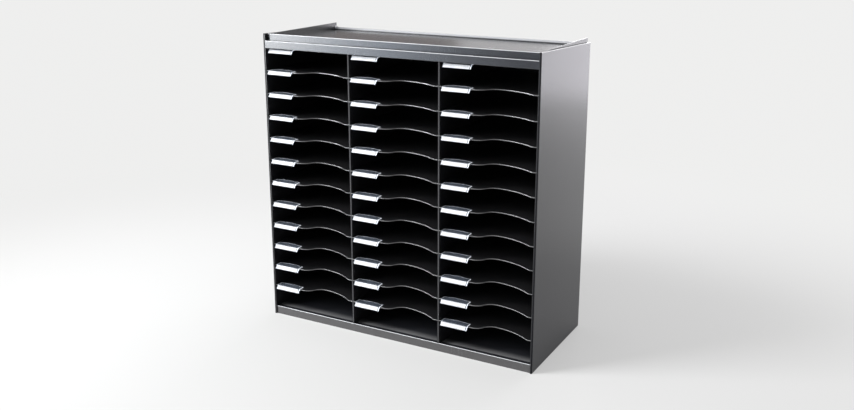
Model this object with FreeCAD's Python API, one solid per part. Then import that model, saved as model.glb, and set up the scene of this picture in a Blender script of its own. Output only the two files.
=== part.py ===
import FreeCAD, Part
import math
import os

# Pigeonhole mail sorter: a steel cabinet with three columns of twelve letter compartments.
# Thin plastic shelves slide in grooves of plastic liners and dividers. Each shelf has a finger
# scoop in its front edge and a clear label holder with a card clipped on at the left.
#
# Frame: +Z up, the front faces -Y, the origin is the middle of the footprint on the floor.
# All sizes are in millimetres.

Vector = FreeCAD.Vector

# ---- Counts ----
column_names = ["left", "middle", "right"]
shelves_per_column = 11

# ---- Cabinet plan ----
bay_width = 255.0            # clear width of one column
divider_thickness = 5.0
side_thickness = 5.5         # skin and liner together
cabinet_depth = 331.0
front_setback = 3.0          # shelves, dividers and base rail lie this far behind the front

# ---- Heights, from the floor up ----
base_rail_height = 22.5
floor_drop = 2.5             # the base panel lies this far below the base rail's top
bottom_bay_height = 64.2     # clear height of the lowest compartments
shelf_pitch = 60.75
shelf_thickness = 2.5
top_bay_height = 59.5        # from the highest shelf to the underside of the top rail
top_rail_height = 20.0
ledge_step = 2.5             # the top rail's ledge stands this far above the tray's floor
rim_height = 17.5            # front and side rims above the ledge
back_rim_height = 7.5        # back rim above the tray's floor
side_lead = 1.0              # the side panels' front corners rise this far above the rims
side_rear_drop = 13.0        # fall of the side panels' top edge from front to back

# ---- Folded sheet steel ----
sheet = 1.2
bend_radius = 1.0
front_return = 3.4           # skin's return along the front edge
rear_return = 16.0           # skin's return along the back edge
rail_ledge = 10.0            # depth of the top rail's ledge, in front of the tray's rim
rail_return = 12.0           # depth of the top rail's lower return
base_rail_return = 6.0       # depth of the base rail's upper return
base_rail_foot = 18.0        # depth of the base rail's lower return
base_gap = 3.0               # gap between the base rail's return and the base panel
tray_flange = 10.0           # the tray's side flanges, down inside the cabinet

# ---- Top tray rim ----
rim_thickness = 3.0
rim_side_gap = 2.0           # between a side rim and the side liner
rim_edge_radius = 1.0

# ---- Grooves and shelves ----
groove_depth = 1.6
shelf_side_clearance = 0.2
shelf_top_clearance = 0.3
shelf_rear_clearance = 1.5
scoop_start = 92.0           # from the bay's left wall to the start of the scoop
scoop_flank = 54.0           # length of the scoop's S-shaped left flank
scoop_depth = 32.0
scoop_land = 10.0            # straight edge left at the right of the scoop
scoop_fillet = 8.0

# ---- Label holders and cards ----
label_inset = 7.0            # from the bay's left wall
label_width = 75.0
label_sheet = 0.5            # clear plastic sheet
label_tab_depth = 16.0
label_tab_thickness = 0.8
label_face_reach = 7.5       # the sloping face runs this far forwards
label_face_drop = 9.5        # and this far down
label_clip_depth = 8.0       # leg under the shelf, or over the top rail's return
label_slot = 0.5
card_thickness = 0.3
card_left_margin = 1.0
card_right_margin = 4.0
hanging_tab_drop = 2.7       # the top labels' tabs lie this far below the top rail
hanging_face_setback = 1.0   # and their faces end this far behind the rail's front

# ---- Screws ----
screw_radius = 1.6
shank_fit = 0.05             # radial clearance of a screw or rivet in its hole
screw_head_radius = 3.6
screw_head_height = 1.6
flange_screw_length = 4.6
tray_screws_per_side = 3
base_screws_per_side = 3
flange_screw_inset = 55.0    # from the cabinet's front and back to the nearest screw

# ---- Blind rivets through the skins' rear returns and the back panel ----
rivet_radius = 1.6
rivet_head_radius = 3.2
rivet_head_height = 1.0
rivet_tail = 0.9             # stands out of the back panel, inside
rivet_end_margin = 40.0      # from the back panel's ends to the nearest rivet
rivets_per_side = 6

# ---- Derived places ----
columns = len(column_names)
cabinet_width = columns * bay_width + (columns - 1) * divider_thickness + 2 * side_thickness
half_width = cabinet_width / 2
front_y = -cabinet_depth / 2
back_y = cabinet_depth / 2
setback_y = front_y + front_setback
liner_face = half_width - side_thickness
skin_inside = half_width - sheet
rear_skin_y = back_y - sheet
back_panel_y = rear_skin_y - sheet

floor_top = base_rail_height - floor_drop
first_shelf_bottom = floor_top + bottom_bay_height
highest_shelf_top = first_shelf_bottom + (shelves_per_column - 1) * shelf_pitch + shelf_thickness
rail_bottom = highest_shelf_top + top_bay_height
ledge_top = rail_bottom + top_rail_height
tray_top = ledge_top - ledge_step
tray_bottom = tray_top - sheet
rim_top = ledge_top + rim_height
side_front_top = rim_top + side_lead
side_rear_top = side_front_top - side_rear_drop
rim_front_y = front_y + rail_ledge
rim_side_x = liner_face - rim_side_gap
rivet_x = half_width - rear_return / 2
shelf_width = bay_width + 2 * (groove_depth - shelf_side_clearance)
shelf_length = back_panel_y - shelf_rear_clearance - setback_y
base_front_y = setback_y + base_rail_return + base_gap

overshoot = 1.0              # cutting tools run this far past the faces they cut


def box(x0, x1, y0, y1, z0, z1):
    return Part.makeBox(x1 - x0, y1 - y0, z1 - z0, Vector(x0, y0, z0))


def side_prism(points_yz, x0, x1):
    """A flat outline in the YZ plane, given as (y, z) points, carried from x0 to x1."""
    corners = [Vector(x0, y, z) for y, z in points_yz]
    face = Part.Face(Part.makePolygon(corners + corners[:1]))
    return face.extrude(Vector(x1 - x0, 0, 0))


def mirrored(shape):
    """The same shape on the other side of the cabinet's middle plane."""
    return shape.mirror(Vector(0, 0, 0), Vector(1, 0, 0))


def spread(first, last, count):
    """Evenly spaced places from first to last."""
    step = (last - first) / (count - 1)
    return [first + step * index for index in range(count)]


def bay_left(column):
    """X of a column's left wall."""
    return -liner_face + column * (bay_width + divider_thickness)


def shelf_bottoms():
    return [first_shelf_bottom + index * shelf_pitch for index in range(shelves_per_column)]


def rounded(shape, radius, wanted):
    """Rounds the edges that the wanted test picks out."""
    return shape.makeFillet(radius, [edge for edge in shape.Edges if wanted(edge)])


def same(a, b):
    return abs(a - b) < 1e-6


def lies_at(edge, axis, place):
    """True if the whole edge lies in the plane where the axis has that value."""
    low = getattr(edge.BoundBox, axis + "Min")
    high = getattr(edge.BoundBox, axis + "Max")
    return same(low, place) and same(high, place)


# ---- Fasteners ----
def fastener(head, direction, length, radius, head_radius, head_height):
    """A round shank that runs from the point head along direction, with a flat head outside."""
    shank = Part.makeCylinder(radius - shank_fit, length, head, direction)
    return shank.fuse(Part.makeCylinder(head_radius, head_height, head, direction * -1))


def rivet_places():
    heights = spread(rivet_end_margin, tray_bottom - rivet_end_margin, rivets_per_side)
    return [Vector(x, back_y, z) for x in (-rivet_x, rivet_x) for z in heights]


def rivets():
    length = back_y - back_panel_y + rivet_tail
    return [fastener(place, Vector(0, -1, 0), length, rivet_radius,
                     rivet_head_radius, rivet_head_height) for place in rivet_places()]


def rivet_holes():
    length = back_y - back_panel_y
    return [Part.makeCylinder(rivet_radius, length, place, Vector(0, -1, 0))
            for place in rivet_places()]


def flange_screw_heads(count, height):
    """Right-hand screw places in a side flange, on its inner face."""
    places = spread(front_y + flange_screw_inset, back_y - flange_screw_inset, count)
    return [Vector(liner_face - sheet, y, height) for y in places]


def flange_screws(count, height):
    right = [fastener(head, Vector(1, 0, 0), flange_screw_length, screw_radius,
                      screw_head_radius, screw_head_height)
             for head in flange_screw_heads(count, height)]
    return right + [mirrored(one) for one in right]


def flange_holes(count, height):
    """Right-hand holes for the screws of a side flange, open at the flange's inner face."""
    length = flange_screw_length + 2 * shank_fit
    back_off = Vector(shank_fit, 0, 0)
    return [Part.makeCylinder(screw_radius, length, head - back_off, Vector(1, 0, 0))
            for head in flange_screw_heads(count, height)]


def drilled(panel, holes):
    """A panel less its right-hand holes and the same holes on the left."""
    for hole in holes:
        panel = panel.cut(hole).cut(mirrored(hole))
    return panel


tray_screw_height = tray_bottom - tray_flange / 2
base_screw_height = floor_top / 2


# ---- Side panels ----
def side_top(y):
    """Height of the side panels' sloping top edge."""
    return side_front_top - side_rear_drop * (y - front_y) / cabinet_depth


def side_slab(x0, x1, y0, y1, margin):
    """A piece of the side panel between two Y values, drawn in by a margin at top and bottom."""
    outline = [(y0, margin), (y1, margin), (y1, side_top(y1) - margin), (y0, side_top(y0) - margin)]
    return side_prism(outline, x0, x1)


def side_skin():
    """Right-hand steel skin: a shallow pan that is open towards the inside, with a narrow
    front return and a wide rear one."""
    pan = side_slab(liner_face, half_width, front_y, back_y, 0)
    pan = rounded(pan, bend_radius, lambda edge: lies_at(edge, "X", half_width))
    inside = liner_face - overshoot
    pan = pan.cut(side_slab(inside, skin_inside, front_y + sheet, rear_skin_y, sheet))
    pan = pan.cut(side_slab(inside, half_width - front_return, front_y, front_y + sheet, sheet))
    rear_strip = box(half_width - rear_return, liner_face, rear_skin_y, back_y,
                     sheet, side_rear_top)
    pan = pan.fuse(rear_strip).removeSplitter()
    for hole in rivet_holes():
        pan = pan.cut(hole)
    return pan


def cut_grooves(wall, x0, x1):
    """Cuts one shelf groove per shelf into a wall, between two X values."""
    for bottom in shelf_bottoms():
        top = bottom + shelf_thickness + shelf_top_clearance
        wall = wall.cut(box(x0, x1, front_y - overshoot, back_y + overshoot, bottom, top))
    return wall


def side_liner():
    """Right-hand plastic liner that fills the skin and carries the outer shelf edges."""
    liner = side_slab(liner_face, skin_inside, front_y, back_panel_y, sheet)
    liner = liner.cut(box(half_width - front_return, half_width, front_y, front_y + sheet,
                          0, side_front_top))
    liner = cut_grooves(liner, liner_face - overshoot, liner_face + groove_depth)
    holes = flange_holes(tray_screws_per_side, tray_screw_height)
    holes += flange_holes(base_screws_per_side, base_screw_height)
    for hole in holes:
        liner = liner.cut(hole)
    return liner


# ---- Dividers ----
def divider(index):
    """A grooved upright between two columns. It stands on the base panel under the tray, and
    its front corners are notched over the base rail and under the top rail."""
    left = bay_left(index + 1) - divider_thickness
    right = bay_left(index + 1)
    wall = box(left, right, setback_y, back_panel_y, floor_top, tray_bottom)
    wall = wall.cut(box(left, right, setback_y, base_front_y, floor_top, base_rail_height))
    wall = wall.cut(box(left, right, setback_y, front_y + rail_return, rail_bottom, tray_bottom))
    wall = cut_grooves(wall, left - overshoot, left + groove_depth)
    return cut_grooves(wall, right - groove_depth, right + overshoot)


# ---- Top tray ----
def top_tray():
    """Folded tray on top: floor, front and side rims, low back rim, side flanges."""
    tray = box(-rim_side_x, rim_side_x, rim_front_y, rear_skin_y, tray_bottom, rim_top)
    well_side = rim_side_x - rim_thickness
    well_back = rear_skin_y - rim_thickness
    tray = tray.cut(box(-well_side, well_side, rim_front_y + rim_thickness, well_back,
                        tray_top, rim_top + overshoot))
    tray = rounded(tray, rim_edge_radius, lambda edge: lies_at(edge, "Z", rim_top))
    tray = tray.cut(box(-well_side, well_side, well_back - overshoot, back_y,
                        tray_top + back_rim_height, rim_top + overshoot))
    tray = tray.fuse(box(-liner_face, liner_face, rim_front_y, rear_skin_y,
                         tray_bottom, tray_top))
    for x0 in (-liner_face, liner_face - sheet):
        tray = tray.fuse(box(x0, x0 + sheet, rim_front_y + rail_return, back_panel_y,
                             tray_bottom - tray_flange, tray_bottom))
    return drilled(tray.removeSplitter(), flange_holes(tray_screws_per_side, tray_screw_height))


# ---- Rails ----
def top_rail():
    """Folded rail across the front: face, ledge up to the tray's rim, and lower return."""
    rail = box(-liner_face, liner_face, front_y, rim_front_y, rail_bottom, ledge_top)
    rail = rounded(rail, bend_radius, lambda edge: lies_at(edge, "Y", front_y)
                   and same(edge.BoundBox.ZLength, 0))
    hollow = box(-liner_face, liner_face, front_y + sheet, rim_front_y + overshoot,
                 rail_bottom + sheet, ledge_top - sheet)
    lower = box(-liner_face, liner_face, rim_front_y, front_y + rail_return,
                rail_bottom, rail_bottom + sheet)
    return rail.cut(hollow).fuse(lower).removeSplitter()


def base_rail():
    """Folded rail along the floor at the front, with an upper return and a foot."""
    back = setback_y + base_rail_foot
    rail = box(-liner_face, liner_face, setback_y, back, 0, base_rail_height)
    rail = rounded(rail, bend_radius, lambda edge: lies_at(edge, "Y", setback_y)
                   and lies_at(edge, "Z", base_rail_height))
    hollow = box(-liner_face, liner_face, setback_y + sheet, back + overshoot,
                 sheet, base_rail_height - sheet)
    behind = box(-liner_face, liner_face, setback_y + base_rail_return, back + overshoot,
                 sheet, base_rail_height + overshoot)
    return rail.cut(hollow).cut(behind)


# ---- Base and back ----
def base_panel():
    """Pan turned upside down: the lowest compartments' floor, with flanges down all round."""
    pan = box(-liner_face, liner_face, base_front_y, back_panel_y, 0, floor_top)
    pan = rounded(pan, bend_radius, lambda edge: lies_at(edge, "Y", base_front_y)
                  and lies_at(edge, "Z", floor_top))
    pan = pan.cut(box(-liner_face + sheet, liner_face - sheet, base_front_y + sheet,
                      back_panel_y - sheet, -overshoot, floor_top - sheet))
    pan = pan.cut(box(-liner_face, liner_face, base_front_y, setback_y + base_rail_foot,
                      -overshoot, sheet))
    return drilled(pan, flange_holes(base_screws_per_side, base_screw_height))


def back_panel():
    """Flat sheet between the skins' rear returns and the liners."""
    panel = box(-skin_inside, skin_inside, back_panel_y, rear_skin_y, sheet, tray_bottom)
    for hole in rivet_holes():
        panel = panel.cut(hole)
    return panel


# ---- Shelves ----
def arc(start, middle, end):
    return Part.Arc(start, middle, end).toShape()


def on_circle(centre, radius, angle):
    return centre + Vector(radius * math.cos(angle), radius * math.sin(angle), 0)


def circle_arc(centre, radius, start_angle, end_angle):
    middle = (start_angle + end_angle) / 2
    return arc(on_circle(centre, radius, start_angle), on_circle(centre, radius, middle),
               on_circle(centre, radius, end_angle))


def scoop_edges():
    """The finger scoop in plan, from left to right, with X from the bay's left wall and Y
    from the shelf's front edge: an S of two equal arcs down to the deepest point, one long
    arc back, and a fillet into the straight land."""
    apex = scoop_start + scoop_flank
    land = bay_width - scoop_land
    s_radius = (scoop_flank ** 2 + scoop_depth ** 2) / (4 * scoop_depth)
    s_turn = 2 * math.atan2(scoop_depth, scoop_flank)
    return_radius = ((land - apex) ** 2 + scoop_depth ** 2
                     - 2 * scoop_depth * scoop_fillet) / (2 * scoop_depth)
    quarter = math.pi / 2
    first_centre = Vector(scoop_start, s_radius, 0)
    second_centre = Vector(apex, scoop_depth - s_radius, 0)
    return_centre = Vector(apex, scoop_depth - return_radius, 0)
    fillet_centre = Vector(land, scoop_fillet, 0)
    across = fillet_centre - return_centre
    meet = math.atan2(across.y, across.x)
    return [
        circle_arc(first_centre, s_radius, -quarter, -quarter + s_turn),
        circle_arc(second_centre, s_radius, quarter + s_turn, quarter),
        circle_arc(return_centre, return_radius, quarter, meet),
        circle_arc(fillet_centre, scoop_fillet, meet + math.pi, 3 * quarter),
    ]


def shelf_plate():
    """A shelf at the bay's left wall, its front edge on Y = 0 and its underside on Z = 0."""
    left = shelf_side_clearance - groove_depth
    right = left + shelf_width
    scoop = scoop_edges()
    scoop_left = Vector(scoop_start, 0, 0)
    scoop_right = Vector(bay_width - scoop_land, 0, 0)
    corners = [Vector(right, 0, 0), Vector(right, shelf_length, 0),
               Vector(left, shelf_length, 0), Vector(left, 0, 0)]
    edges = [Part.LineSegment(scoop_right, corners[0]).toShape()]
    for start, end in zip(corners, corners[1:]):
        edges.append(Part.LineSegment(start, end).toShape())
    edges.append(Part.LineSegment(corners[-1], scoop_left).toShape())
    outline = Part.Wire(Part.__sortEdges__(edges + scoop))
    return Part.Face(outline).extrude(Vector(0, 0, shelf_thickness))


# ---- Label holders and cards ----
pocket_thickness = 2 * label_sheet + label_slot
card_play = (label_slot - card_thickness) / 2
slope_length = math.hypot(label_face_reach, label_face_drop)
shelf_fold = (-pocket_thickness, shelf_thickness + label_tab_thickness)
hanging_fold = (front_y + hanging_face_setback + label_face_reach, rail_bottom - hanging_tab_drop)


def across_label(points_yz, left_margin, right_margin):
    """A flat outline in YZ carried along the label's width, less a margin at each end."""
    return side_prism(points_yz, label_inset + left_margin,
                      label_inset + label_width - right_margin)


def film(y0, y1, z0, z1):
    """A flat part of a label holder, over the label's whole width."""
    return across_label([(y0, z0), (y1, z0), (y1, z1), (y0, z1)], 0, 0)


def sloping_strip(fold, start, finish, above, below):
    """A strip along a label's sloping face, which starts at the fold, a (y, z) point. start and
    finish run down the slope from the fold; above and below are depths under the face."""
    forward = -label_face_reach / slope_length
    down = -label_face_drop / slope_length
    fold_y, fold_z = fold

    def point(along, depth):
        return (fold_y + along * forward - depth * down,
                fold_z + along * down + depth * forward)

    return [point(start, above), point(finish, above), point(finish, below), point(start, below)]


def card_slot(fold, margin):
    """The space for the card in a sloping pocket, drawn in by a margin."""
    return sloping_strip(fold, label_sheet * 2 + margin, slope_length - label_sheet - margin,
                         label_sheet + margin, label_sheet + label_slot - margin)


def holder_with_pocket(pieces, fold):
    """Joins a holder's flat parts to its sloping pocket, and cuts the slot for the card."""
    holder = across_label(sloping_strip(fold, 0, slope_length, 0, pocket_thickness), 0, 0)
    for piece in pieces:
        holder = holder.fuse(piece)
    slot = across_label(card_slot(fold, 0), -overshoot, -overshoot)
    return holder.removeSplitter().cut(slot)


def label_card(fold):
    """The card in a holder's pocket."""
    return across_label(card_slot(fold, card_play), card_left_margin, card_right_margin)


def shelf_label_holder():
    """Clear holder clipped over a shelf's front edge: tab on top, leg below, sloping pocket."""
    front, tab_top = shelf_fold
    leg = -label_tab_thickness
    pieces = [film(front, label_tab_depth, shelf_thickness, tab_top),
              film(front, 0, leg, tab_top),
              film(front, label_clip_depth, leg, 0)]
    return holder_with_pocket(pieces, shelf_fold)


def labelled_shelf(column, height):
    """A shelf with its label holder and card, in its place in the cabinet."""
    group = Part.makeCompound([shelf_plate(), shelf_label_holder(), label_card(shelf_fold)])
    group.translate(Vector(bay_left(column), setback_y, height))
    return group


def hanging_label_holder():
    """Clear holder clipped round the top rail's lower return, with its tab hung below."""
    front, tab_top = hanging_fold
    lip = front_y + rail_return
    wall = lip + label_tab_thickness
    leg_bottom = rail_bottom + sheet
    leg_top = leg_bottom + label_tab_thickness
    pieces = [film(front, front + label_tab_depth, tab_top - label_tab_thickness, tab_top),
              film(lip, wall, tab_top - label_tab_thickness, leg_top),
              film(lip - label_clip_depth, wall, leg_bottom, leg_top),
              film(front, wall, rail_bottom - label_tab_thickness, rail_bottom)]
    return holder_with_pocket(pieces, hanging_fold)


def one_per_column(shape):
    """Copies of a shape drawn from the bay's left wall, one in each column."""
    copies = []
    for column in range(columns):
        copy = shape.copy()
        copy.translate(Vector(bay_left(column), 0, 0))
        copies.append(copy)
    return Part.makeCompound(copies)


def save(name, shape):
    shape.exportStep("parts/" + name + ".step")


def main():
    os.makedirs("parts", exist_ok=True)
    skin = side_skin()
    liner = side_liner()
    save("side_skin_right", skin)
    save("side_skin_left", mirrored(skin))
    save("side_liner_right", liner)
    save("side_liner_left", mirrored(liner))
    for index in range(columns - 1):
        save("divider_" + str(index + 1), divider(index))
    save("top_tray", top_tray())
    save("top_rail", top_rail())
    save("base_rail", base_rail())
    save("base_panel", base_panel())
    save("back_panel", back_panel())
    save("back_panel_rivets", Part.makeCompound(rivets()))
    tray = flange_screws(tray_screws_per_side, tray_screw_height)
    save("tray_screws", Part.makeCompound(tray))
    base = flange_screws(base_screws_per_side, base_screw_height)
    save("base_screws", Part.makeCompound(base))
    save("top_label_holders", one_per_column(hanging_label_holder()))
    save("top_label_cards", one_per_column(label_card(hanging_fold)))
    for column, name in enumerate(column_names):
        for row, height in enumerate(reversed(shelf_bottoms())):
            number = "%02d" % (row + 1)
            save("shelf_" + name + "_" + number, labelled_shelf(column, height))


main()
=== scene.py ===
"""Looks of a pigeonhole mail sorter: a dark steel cabinet with sliding plastic shelves, each with
a finger scoop and a clear label holder. All sizes are in metres, in the cabinet's own frame: +Z up,
the open front faces -Y, the origin is the middle of the footprint on the floor."""
import math

import bmesh
import bpy
import numpy as np
from bpy.props import FloatProperty, FloatVectorProperty, IntProperty, PointerProperty
from mathutils.geometry import tessellate_polygon
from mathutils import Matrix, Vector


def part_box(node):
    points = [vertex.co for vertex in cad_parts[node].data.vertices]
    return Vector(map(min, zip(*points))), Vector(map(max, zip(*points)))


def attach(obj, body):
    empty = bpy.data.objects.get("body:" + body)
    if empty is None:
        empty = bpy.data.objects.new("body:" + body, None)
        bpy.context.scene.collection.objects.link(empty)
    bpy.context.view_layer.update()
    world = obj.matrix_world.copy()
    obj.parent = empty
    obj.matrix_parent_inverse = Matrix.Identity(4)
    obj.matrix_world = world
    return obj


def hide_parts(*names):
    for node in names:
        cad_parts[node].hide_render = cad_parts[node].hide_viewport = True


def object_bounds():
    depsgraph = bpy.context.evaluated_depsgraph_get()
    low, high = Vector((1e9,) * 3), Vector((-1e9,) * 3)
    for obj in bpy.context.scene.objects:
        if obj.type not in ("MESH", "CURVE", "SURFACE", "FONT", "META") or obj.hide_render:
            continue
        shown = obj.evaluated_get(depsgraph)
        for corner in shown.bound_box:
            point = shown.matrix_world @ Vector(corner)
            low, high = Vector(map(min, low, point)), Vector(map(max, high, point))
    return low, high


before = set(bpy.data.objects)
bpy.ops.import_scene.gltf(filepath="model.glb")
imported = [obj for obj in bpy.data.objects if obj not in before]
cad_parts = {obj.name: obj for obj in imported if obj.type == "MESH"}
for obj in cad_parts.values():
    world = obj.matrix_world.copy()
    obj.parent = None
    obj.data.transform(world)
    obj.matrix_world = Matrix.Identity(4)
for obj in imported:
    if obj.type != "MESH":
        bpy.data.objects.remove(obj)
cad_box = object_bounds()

bl_info = {
    "name": "Pigeonhole mail sorter",
    "version": (1, 0, 0),
    "blender": (4, 5, 0),
    "location": "3D View > Sidebar > Mail sorter",
    "description": "Shelves, label holders, cards and finishes of a steel mail sorter",
    "category": "Object",
}

SIDE_NODES = ("side_skin_left", "side_skin_right")
LINER_NODES = ("side_liner_left", "side_liner_right")
DIVIDER_NODES = ("divider_1", "divider_2")
FASTENER_NODES = ("back_panel_rivets", "tray_screws", "base_screws")
SHELF_NODES = sorted(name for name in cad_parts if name.startswith("shelf_"))


# ---- Settings ----
class ShelfSizes(bpy.types.PropertyGroup):
    """Sizes of a shelf plate and its finger scoop."""
    thickness: FloatProperty(name="Thickness", description="Thickness of the plate",
                             default=0.0025, unit="LENGTH")
    edge_radius: FloatProperty(name="Edge radius", description="Rounding of the front edge",
                               default=0.0007, unit="LENGTH")
    groove_fit: FloatProperty(name="Groove fit", description="Depth of a side edge in its groove",
                              default=0.0014, unit="LENGTH")
    scoop_start: FloatProperty(name="Scoop start", description="From the left wall to the scoop",
                               default=0.092, unit="LENGTH")
    scoop_flank: FloatProperty(name="Scoop flank", description="Length of the S-shaped left flank",
                               default=0.054, unit="LENGTH")
    scoop_depth: FloatProperty(name="Scoop depth", description="Depth of the scoop",
                               default=0.032, unit="LENGTH")
    scoop_land: FloatProperty(name="Scoop land", description="Straight edge right of the scoop",
                              default=0.010, unit="LENGTH")
    scoop_fillet: FloatProperty(name="Scoop fillet", description="Rounding between scoop and land",
                                default=0.008, unit="LENGTH")
    arc_steps: IntProperty(name="Arc steps", description="Points along each arc of the scoop",
                           default=20, min=4)
    round_steps: IntProperty(name="Rounding steps", description="Points round each edge rounding",
                             default=4, min=2)


class LabelSizes(bpy.types.PropertyGroup):
    """Sizes of the clear label holders and their cards."""
    inset: FloatProperty(name="Inset", description="From the column's left wall to the holder",
                         default=0.007, unit="LENGTH")
    width: FloatProperty(name="Width", description="Length of a holder along the shelf's edge",
                         default=0.075, unit="LENGTH")
    sheet: FloatProperty(name="Pocket wall", description="Thickness of the pocket's two sheets",
                         default=0.0005, unit="LENGTH")
    slot: FloatProperty(name="Slot", description="Space for the card between the two sheets",
                        default=0.0005, unit="LENGTH")
    tab: FloatProperty(name="Tab thickness", description="Thickness of the tab, wall and leg",
                       default=0.0008, unit="LENGTH")
    tab_depth: FloatProperty(name="Tab depth", description="How far the tab reaches over the shelf",
                             default=0.016, unit="LENGTH")
    clip_depth: FloatProperty(name="Clip depth", description="Reach of the leg under the shelf",
                              default=0.008, unit="LENGTH")
    face_reach: FloatProperty(name="Face reach", description="The sloping face runs this far out",
                              default=0.0075, unit="LENGTH")
    face_drop: FloatProperty(name="Face drop", description="The sloping face runs this far down",
                             default=0.0095, unit="LENGTH")
    rim: FloatProperty(name="Frosted rim", description="Width of the frosted right end",
                       default=0.0016, unit="LENGTH")
    bow: FloatProperty(name="Tab bow", description="How far the tab's rear edge bows up",
                       default=0.0018, unit="LENGTH")
    card: FloatProperty(name="Card thickness", description="Thickness of a card",
                        default=0.0003, unit="LENGTH")
    card_left: FloatProperty(name="Left margin", description="From the holder's end to the card",
                             default=0.001, unit="LENGTH")
    card_right: FloatProperty(name="Right margin", description="From the card to the holder's end",
                              default=0.004, unit="LENGTH")
    hanging_drop: FloatProperty(name="Hanging drop", description="From the top rail to its tabs",
                                default=0.0027, unit="LENGTH")
    hanging_setback: FloatProperty(name="Hanging setback", description="Behind the rail's front",
                                   default=0.001, unit="LENGTH")
    rail_sheet: FloatProperty(name="Rail sheet", description="Sheet thickness of the top rail",
                              default=0.0012, unit="LENGTH")
    rail_return: FloatProperty(name="Rail return", description="Depth of the rail's lower return",
                               default=0.012, unit="LENGTH")


class FinishSettings(bpy.types.PropertyGroup):
    """Colours of the sorter's finishes."""
    steel: FloatVectorProperty(name="Painted steel", description="Powder coat on the folded sheets",
                               default=(0.019, 0.020, 0.024), subtype="COLOR", min=0, max=1)
    # Lighter copy of the steel coat, painted on the base rail's front face as painted light
    base: FloatVectorProperty(name="Painted base", description="Powder coat on the base rail",
                              default=(0.070, 0.068, 0.070), subtype="COLOR", min=0, max=1)
    # Colour of a painted pool of light on the front of the compartments' floor
    light_pool: FloatVectorProperty(name="Worn floor", description="Front of the floor, worn by papers",
                              default=(0.18, 0.18, 0.185), subtype="COLOR", min=0, max=1)
    # Colour of the painted highlight laid along the front bends and the back rim
    bend: FloatVectorProperty(name="Bends", description="Thin coat along the front bends",
                              default=(0.66, 0.67, 0.70), subtype="COLOR", min=0, max=1)
    plastic: FloatVectorProperty(name="Black plastic", description="Liners and dividers",
                                 default=(0.014, 0.014, 0.016), subtype="COLOR", min=0, max=1)
    # Colour of the painted highlight along the dividers' front edges
    nose: FloatVectorProperty(name="Divider nose", description="Rubbed front edges of the dividers",
                              default=(0.095, 0.095, 0.098), subtype="COLOR", min=0, max=1)
    shelf: FloatVectorProperty(name="Shelf plastic", description="Shelf plates",
                               default=(0.012, 0.012, 0.013), subtype="COLOR", min=0, max=1)
    # Paler colour on the upper half of the shelves' front edges: a painted highlight
    shelf_edge_highlight: FloatVectorProperty(name="Shelf edge", description="Cut front edges of the shelves",
                                    default=(0.16, 0.16, 0.164), subtype="COLOR", min=0, max=1)
    clear: FloatVectorProperty(name="Clear plastic", description="Label holders",
                               default=(0.34, 0.42, 0.56), subtype="COLOR", min=0, max=1)
    # Colour of the frosted cut edges, also shown as their painted glow
    frosted_and_glow: FloatVectorProperty(name="Frosted edge", description="Cut edges of the label holders",
                                 default=(0.80, 0.84, 0.90), subtype="COLOR", min=0, max=1)
    card: FloatVectorProperty(name="Card", description="Label cards",
                              default=(0.93, 0.925, 0.92), subtype="COLOR", min=0, max=1)
    zinc: FloatVectorProperty(name="Fasteners", description="Blackened zinc on rivets and screws",
                              default=(0.16, 0.16, 0.17), subtype="COLOR", min=0, max=1)


class StudioSettings(bpy.types.PropertyGroup):
    """The camera, lamps and floor."""
    lens: FloatProperty(name="Lens", description="Focal length on a 36 mm sensor",
                        default=39.9)
    camera_place: FloatVectorProperty(name="Camera place", description="Where the camera stands",
                                      default=(1.186, -2.1525, 1.081), subtype="XYZ")
    camera_tilt: FloatProperty(name="Camera tilt", description="From straight down",
                               default=math.radians(75.15), subtype="ANGLE")
    camera_turn: FloatProperty(name="Camera turn", description="Anticlockwise from +Y",
                               default=math.radians(28.68), subtype="ANGLE")
    camera_shift: FloatProperty(name="Vertical shift", description="Lens shift as a share of width",
                                default=-0.04)
    pale: FloatVectorProperty(name="Background", description="Floor and background",
                              default=(0.86, 0.86, 0.855), subtype="COLOR", min=0, max=1)
    fill: FloatProperty(name="Fill", description="Level of the light from all round",
                        default=0.32, min=0)


# ---- Surfaces ----
SHARP_ANGLE = math.radians(32)  # edges that turn by more are shaded as sharp


def grid_faces(rows, columns):
    """Quads of a grid of points whose columns close on themselves. Point (row, column) has the
    number row * columns + column, and a quad joins it to the next row and the next column."""
    row, column = np.meshgrid(np.arange(rows - 1), np.arange(columns), indexing="ij")
    here = row * columns + column
    beside = row * columns + (column + 1) % columns
    return np.stack([here, beside, beside + columns, here + columns], axis=-1).reshape(-1, 4)


def end_faces(rows, columns):
    """The two faces that close such a grid at its first and its last row."""
    return [list(range(columns)), list(range((rows - 1) * columns, rows * columns))]


def arc_path(start, heading, radius, turn, steps):
    """Points along a circular arc in plan and the heading at each. The heading grows evenly from
    its first value by the angle turn, to the left where turn is positive. A point is the start
    plus the signed radius times the change of (sine, minus cosine) of the heading."""
    headings = heading + turn * np.linspace(0, 1, steps + 1)
    signed = math.copysign(radius, turn)
    x = start[0] + signed * (np.sin(headings) - math.sin(heading))
    y = start[1] + signed * (math.cos(heading) - np.cos(headings))
    return np.column_stack([x, y]), headings


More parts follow.
